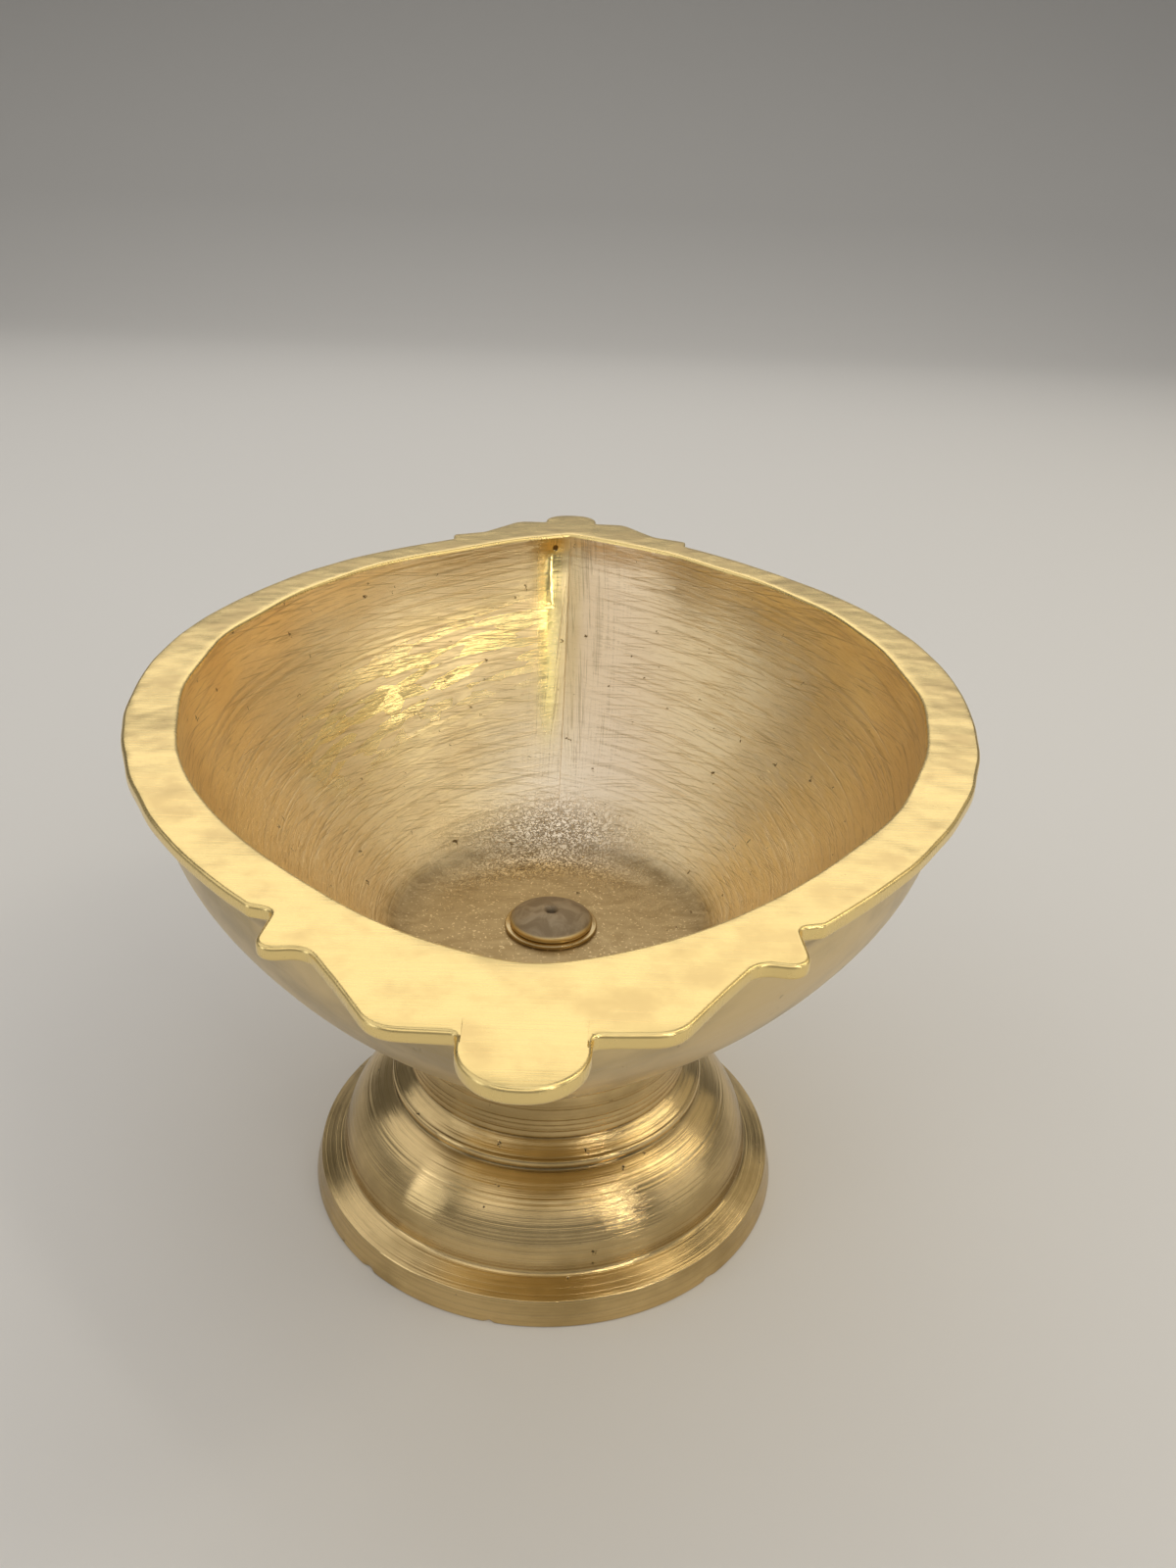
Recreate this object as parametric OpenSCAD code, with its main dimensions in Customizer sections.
// Diya oil lamp: a cast pointed-oval bowl with a scalloped rim, clamped on a turned, hollow foot
// by a stud through the middle of its floor.
// Sizes are millimetres. The origin is the middle of the foot's underside, +Z is up and the
// bowl's long axis lies along Y, so that its two tips point to -Y and +Y.

/* [Bowl] */
// Height of the rim's flat top above the table
rim_height = 68.2; // [60:0.1:80]
// Half the width of the opening, across the lamp
opening_half_width = 39.6; // [34:0.1:46]
// Distance from the long axis to the centre of the arc of the far side
arc_offset = 26.1; // [20:0.1:32]
// Width of the flat rim along the sides
rim_width = 5.2; // [4:0.1:7]
// Height of the rim's outer edge
rim_edge = 1.4; // [1:0.1:2.4]
// Depth below the rim's top at which its underside runs into the wall
rim_root = 3.2; // [2.6:0.1:4.5]
// Thickness of the wall under the rim
wall = 2.8; // [2:0.1:3.6]
// Radius of the flat round floor inside
floor_radius = 19; // [16:0.1:21]
// Thickness of the floor
floor_thickness = 3.8; // [3:0.1:6]

/* [Rim ornament] */
// Half the width at which the plain rim ends in a step
rim_end_half_width = 21.6; // [20.6:0.1:24]
// Half the width at the inside corner of the step
step_half_width = 19.5; // [18:0.1:20]
// How far the step's inside corner lies past the end of the plain rim
step_fall = 0.5; // [0:0.1:1]
// Half the width across the two hooks of a tip
hook_half_width = 20; // [19.5:0.1:22]
// Length of a hook beyond the step
hook_length = 5.4; // [4:0.1:7]
// Half the width at which the scoop beside a hook is deepest
scoop_half_width = 16; // [14.5:0.1:17]
// How far the scoop is cut back behind the hook's nose
scoop_back = 0.6; // [0.2:0.1:2]
// Half the width across the two shoulders of a tip
shoulder_half_width = 10; // [8:0.1:12]
// How far the shoulders stand past the point where the rim's arcs would meet
shoulder_reach = 0.8; // [0.2:0.1:2]
// How far the shoulders rise towards the lobe
shoulder_rise = 0.4; // [0:0.1:1]
// Half the width of the round lobe at the tip
lobe_half_width = 4.4; // [3.6:0.1:5.6]
// How far the lobe stands past the point where the rim's arcs would meet
lobe_reach = 6.8; // [5.8:0.1:8.5]
// Half the width of the flat at the end of the lobe
lobe_flat = 0.2; // [0.1:0.1:0.8]
// Rounding of the step's outer corner
step_nose_round = 0.7; // [0.3:0.1:1]
// Rounding of the step's inside corner
step_round = 0.9; // [0.4:0.1:1.4]
// Rounding of a hook's nose
hook_round = 1.4; // [0.8:0.1:1.8]
// Rounding of the scoop
scoop_round = 2; // [1:0.1:2.6]
// Rounding of a shoulder
shoulder_round = 3.4; // [2:0.1:4.4]
// Rounding of the inside corner between a shoulder and the lobe
lobe_root_round = 0.5; // [0.2:0.1:0.8]

/* [Foot] */
// Height of the foot, up to the seat that carries the bowl
foot_height = 31; // [26:0.1:36]
// Radius of the foot on the table
foot_radius = 30; // [27:0.1:34]
// Height of the flange's outer edge
flange_height = 3.2; // [2.4:0.1:4]
// How far the flange's edge leans in over its height
flange_lean = 0.8; // [0.2:0.1:1.4]
// Width of the flange's sloping top
flange_top_width = 3; // [2:0.1:4]
// Rise of the flange's sloping top
flange_top_rise = 1.2; // [0.6:0.1:2]
// Height of the bell, from the flange to the groove
bell_height = 9.2; // [7:0.1:11]
// How far the bell draws in over its height
bell_taper = 6.4; // [5:0.1:7.5]
// How far the bell swells outside a straight cone
bell_swell = 1.5; // [0.8:0.1:2]
// Depth of the groove below the bead
groove_depth = 0.6; // [0.3:0.1:0.9]
// Height of the groove below the bead
groove_height = 0.3; // [0.2:0.1:0.5]
// Height of the bead
bead_height = 1.2; // [0.8:0.1:1.8]
// How far the bead swells
bead_swell = 0.4; // [0.2:0.1:0.6]
// Height of the cove between the bead and the neck
cove_height = 1.4; // [0.8:0.1:2.2]
// Radius of the neck
neck_radius = 17.6; // [16.4:0.1:18.6]
// Thickness of the foot's wall
foot_wall = 3.2; // [2.4:0.1:4]
// Width of the flat ring on which the foot stands
foot_ring_width = 5.6; // [4.4:0.1:6.4]
// Thickness of the crown that closes the neck under the bowl
crown_thickness = 5; // [4:0.1:7]

/* [Centre stud and its fittings] */
// Diameter of the stud's shank
shank_diameter = 6; // [5:0.1:7]
// Diameter of the stud's head
head_diameter = 10.1; // [9:0.1:12]
// Height of the head's edge
head_edge = 0.7; // [0.5:0.1:1.2]
// Height of the head's dome above its edge
dome_height = 1.1; // [0.6:0.1:1.6]
// Diameter of the turning mark in the head
centre_mark_diameter = 1.4; // [0.8:0.1:2]
// Depth of the turning mark
centre_mark_depth = 0.6; // [0.3:0.1:0.8]
// How far the sealing washer stands out round the head
washer_margin = 0.6; // [0.4:0.1:1.2]
// Thickness of the sealing washer
sealing_washer_thickness = 0.5; // [0.4:0.1:1]
// Diameter of the washer inside the foot
foot_washer_diameter = 14; // [13:0.1:16]
// Thickness of the washer inside the foot
foot_washer_thickness = 1.2; // [0.8:0.1:2]
// Width of the nut across its flats
nut_flats = 10; // [9.4:0.1:12]
// Height of the nut
nut_height = 5; // [4:0.1:6]
// How far the shank stands out below the nut
shank_end = 1.5; // [0.8:0.1:3]
// Gap round the shank in the bowl, the foot and the washers
shank_clearance = 0.25; // [0.15:0.05:0.4]
// Gap round the shank in the nut, in place of the thread
thread_clearance = 0.1; // [0.05:0.05:0.2]
// Gap between the rim of the bowl's seat and the edge of the neck
seat_margin = 0.4; // [0:0.1:0.8]

/* [Hidden] */
$fn = 96;

// Steps along a side of the rim, round a corner of the ornament, round the lobe and up a wall
rim_steps = 8;
corner_steps = 3;
lobe_steps = 5;
wall_steps = 9;
// Steps along a turned curve of the foot and along the dome of the stud
turned_steps = 12;
dome_steps = 8;
// Overlap of a cutting tool past the face that it cuts
cut = 1;

// Bowl: radii of the two rim arcs, the wall's arc, and the point where the outer arcs would meet
opening_radius = arc_offset + opening_half_width;
rim_radius = opening_radius + rim_width;
wall_radius = opening_radius + wall;
arcs_meet = sqrt(rim_radius ^ 2 - arc_offset ^ 2);
floor_level = foot_height + floor_thickness;
seat_radius = neck_radius + seat_margin;

// Ornament: levels along the long axis
rim_end_at = sqrt(rim_radius ^ 2 - (rim_end_half_width + arc_offset) ^ 2);
step_at = rim_end_at + step_fall;
hook_at = step_at + hook_length;
scoop_at = hook_at - scoop_back;
shoulder_at = arcs_meet + shoulder_reach;
lobe_root_at = shoulder_at + shoulder_rise;
lobe_at = arcs_meet + lobe_reach;
lobe_round = min(lobe_half_width - lobe_flat, lobe_at - lobe_root_at - 1.2 * lobe_root_round);

// Foot: the turned steps from the table up
flange_edge_radius = foot_radius - flange_lean;
bell_radius = flange_edge_radius - flange_top_width;
bell_level = flange_height + flange_top_rise;
bell_top_radius = bell_radius - bell_taper;
groove_level = bell_level + bell_height;
bead_level = groove_level + groove_height;
cove_level = bead_level + bead_height;
neck_level = cove_level + cove_height;
bead_radius = bell_top_radius - bead_swell;
mouth_radius = foot_radius - foot_ring_width;
hollow_top_radius = bell_top_radius - groove_depth - foot_wall;
cavity_radius = neck_radius - foot_wall;
crown_level = foot_height - crown_thickness;

// Stud: levels of the clamped pieces, and radii of the bores
head_level = floor_level + sealing_washer_thickness;
edge_level = head_level + head_edge;
foot_washer_level = crown_level - foot_washer_thickness;
nut_level = foot_washer_level - nut_height;
stud_level = nut_level - shank_end;
shank_radius = shank_diameter / 2;
bore_radius = shank_radius + shank_clearance;
head_radius = head_diameter / 2;

brass = "#b59a4c";
turned_brass = "#a89653";
stud_brass = "#8f8460";

function unit(v) = v / norm(v);

// Points on a circle, from one angle to another
function arc(centre, radius, from, to, steps) =
    [for (i = [0 : steps])
        let (a = from + (to - from) * i / steps)
        centre + radius * [cos(a), sin(a)]];

// Points on the arc from p to q that swells by the given amount to the right of the way from p to q
function swell(p, q, amount, steps) =
    let (
        half = norm(q - p) / 2,
        radius = (half ^ 2 + amount ^ 2) / (2 * amount),
        along = unit(q - p),
        right = [along.y, -along.x],
        centre = (p + q) / 2 - right * (radius - amount),
        middle = atan2(right.y, right.x),
        reach = asin(half / radius)
    )
    arc(centre, radius, middle - reach, middle + reach, steps);

// Points round a corner: the arc of the given radius that touches both sides of the corner
function corner(before, at, after, radius, steps) =
    let (
        back = unit(before - at),
        on = unit(after - at),
        half = acos(back * on) / 2,
        centre = at + unit(back + on) * radius / sin(half),
        start = at + back * radius / tan(half) - centre,
        finish = at + on * radius / tan(half) - centre,
        from = atan2(start.y, start.x),
        turn = (180 - 2 * half) * sign(cross(start, finish))
    )
    arc(centre, radius, from, from + turn, steps);

// The rim's outline over a quarter of the plan, from the middle of a side to the tip:
// plain arc, step, hook, scoop, shoulder and lobe
rim_start = [arc_offset + rim_end_half_width, rim_end_at];
rim_end = [rim_end_half_width, rim_end_at];
step = [step_half_width, step_at];
hook = [hook_half_width, hook_at];
scoop = [scoop_half_width, scoop_at];
shoulder = [shoulder_half_width, shoulder_at];
lobe_root = [lobe_half_width, lobe_root_at];
lobe_corner = [lobe_half_width, lobe_at];
tip = [0, lobe_at];
rim_sweep = atan2(rim_start.y, rim_start.x);
plain_rim = arc([-arc_offset, 0], rim_radius, 0, rim_sweep * (1 - 1 / rim_steps), rim_steps - 1);
outline = concat(
    plain_rim,
    corner(plain_rim[rim_steps - 1], rim_end, step, step_nose_round, 1),
    corner(rim_end, step, hook, step_round, 2),
    corner(step, hook, scoop, hook_round, corner_steps + 1),
    corner(hook, scoop, shoulder, scoop_round, corner_steps),
    corner(scoop, shoulder, lobe_root, shoulder_round, corner_steps),
    corner(shoulder, lobe_root, lobe_corner, lobe_root_round, 1),
    corner(lobe_root, lobe_corner, tip, lobe_round, lobe_steps),
    [tip]
);

// Share of the way from the side to the tip at which each outline point lies, by its bearing
// from the centre of the side's arc
tip_bearing = atan2(tip.y, arc_offset);
shares = [for (p = outline) atan2(p.y, p.x + arc_offset) / tip_bearing];

// A quarter of a pointed oval: the arc about the far centre, up to where it meets the long axis
function pointed(radius) =
    let (sweep = acos(arc_offset / radius))
    [for (u = shares) [radius * cos(u * sweep) - arc_offset, radius * sin(u * sweep)]];

// A quarter of a circle, with its points at the same shares
function round_quarter(radius) = [for (u = shares) radius * [cos(90 * u), sin(90 * u)]];

// A quarter part of the way between a circle and a pointed oval
function between(circle_radius, oval_radius, mix) =
    (1 - mix) * round_quarter(circle_radius) + mix * pointed(oval_radius);

// The whole ring at a height, from its first quarter
function ring(quarter, z) =
    let (m = len(quarter) - 1)
    concat(
        [for (i = [0 : m - 1]) [quarter[i].x, quarter[i].y, z]],
        [for (i = [m : -1 : 1]) [-quarter[i].x, quarter[i].y, z]],
        [for (i = [0 : m - 1]) [-quarter[i].x, -quarter[i].y, z]],
        [for (i = [m : -1 : 1]) [quarter[i].x, -quarter[i].y, z]]
    );

// Rings of a wall from a circle up to a pointed oval: the oval's share follows a sine, so that the
// wall leaves the floor at a slant and stands upright under the rim
function wall_rings(circle_radius, oval_radius, low, high) =
    [for (k = [0 : wall_steps])
        let (s = k / wall_steps)
        ring(between(circle_radius, oval_radius, sin(90 * s)), low + (high - low) * s)];

function reversed(list) = [for (i = [len(list) - 1 : -1 : 0]) list[i]];

function joined(lists) = [for (list = lists, item = list) item];

// A closed skin through rings of equal length, with a flat face over the first and the last
module skin(rings) {
    n = len(rings[0]);
    last = len(rings) - 1;
    first_face = [for (i = [n - 1 : -1 : 0]) i];
    last_face = [for (i = [0 : n - 1]) last * n + i];
    sides = [for (k = [0 : last - 1], i = [0 : n - 1], half = [0, 1])
        let (j = (i + 1) % n)
        half == 0
            ? [k * n + i, k * n + j, (k + 1) * n + j]
            : [k * n + i, (k + 1) * n + j, (k + 1) * n + i]];
    polyhedron(joined(rings), concat([first_face], sides, [last_face]), convexity = 6);
}

// Cast bowl: inner wall from the floor to the opening, flat rim, slanted underside of the rim, and
// outer wall down to the seat on the foot
module bowl() {
    inner = wall_rings(floor_radius, opening_radius, floor_level, rim_height);
    outer = wall_rings(seat_radius, wall_radius, foot_height, rim_height - rim_root);
    edge = [ring(outline, rim_height), ring(outline, rim_height - rim_edge)];
    color(brass)
    difference() {
        skin(concat(inner, edge, reversed(outer)));
        translate([0, 0, foot_height - cut])
            cylinder(r = bore_radius, h = floor_thickness + 2 * cut);
    }
}

// Turned foot: flange, swelling bell, groove, bead, cove and neck outside, and a hollow inside that
// ends under the crown
module foot() {
    bell = swell([bell_radius, bell_level], [bell_top_radius, groove_level], bell_swell, turned_steps);
    bead = swell([bead_radius, bead_level], [bead_radius, cove_level], bead_swell, turned_steps / 2);
    cove = swell([neck_radius, neck_level], [bead_radius, cove_level], cove_height / 5, turned_steps / 2);
    hollow = swell(
        [mouth_radius - flange_lean, flange_height],
        [hollow_top_radius, groove_level],
        bell_swell,
        turned_steps
    );
    color(turned_brass)
    rotate_extrude()
    polygon(concat(
        [[mouth_radius, 0], [foot_radius, 0], [flange_edge_radius, flange_height]],
        bell,
        [[bell_top_radius - groove_depth, groove_level + groove_height / 2]],
        bead,
        reversed(cove),
        [[neck_radius, foot_height], [bore_radius, foot_height], [bore_radius, crown_level]],
        [[cavity_radius, crown_level], [cavity_radius, neck_level]],
        reversed(hollow)
    ));
}

// Centre stud: domed head with the mark left by turning, on a plain shank in place of the thread
module centre_stud() {
    dome_radius = (head_radius ^ 2 + dome_height ^ 2) / (2 * dome_height);
    dome_centre = edge_level + dome_height - dome_radius;
    mark_radius = centre_mark_diameter / 2;
    mark_level = dome_centre + sqrt(dome_radius ^ 2 - mark_radius ^ 2);
    dome = arc(
        [0, dome_centre],
        dome_radius,
        acos(head_radius / dome_radius),
        acos(mark_radius / dome_radius),
        dome_steps
    );
    color(stud_brass)
    rotate_extrude()
    polygon(concat(
        [[0, stud_level], [shank_radius, stud_level], [shank_radius, head_level], [head_radius, head_level]],
        dome,
        [[0, mark_level - centre_mark_depth]]
    ));
}

module washer(outer_radius, thickness, level) {
    translate([0, 0, level])
    difference() {
        cylinder(r = outer_radius, h = thickness);
        translate([0, 0, -cut]) cylinder(r = bore_radius, h = thickness + 2 * cut);
    }
}

// Thin washer that seals the floor's bore under the stud's head
module sealing_washer() {
    color(brass) washer(head_radius + washer_margin, sealing_washer_thickness, floor_level);
}

// Washer between the nut and the underside of the foot's crown
module foot_washer() {
    color(turned_brass) washer(foot_washer_diameter / 2, foot_washer_thickness, foot_washer_level);
}

// Hexagon nut that clamps the bowl, the foot and both washers together
module clamp_nut() {
    color(stud_brass)
    translate([0, 0, nut_level])
    difference() {
        cylinder(d = nut_flats / cos(30), h = nut_height, $fn = 6);
        translate([0, 0, -cut]) cylinder(r = shank_radius + thread_clearance, h = nut_height + 2 * cut);
    }
}

bowl();
foot();
centre_stud();
sealing_washer();
foot_washer();
clamp_nut();
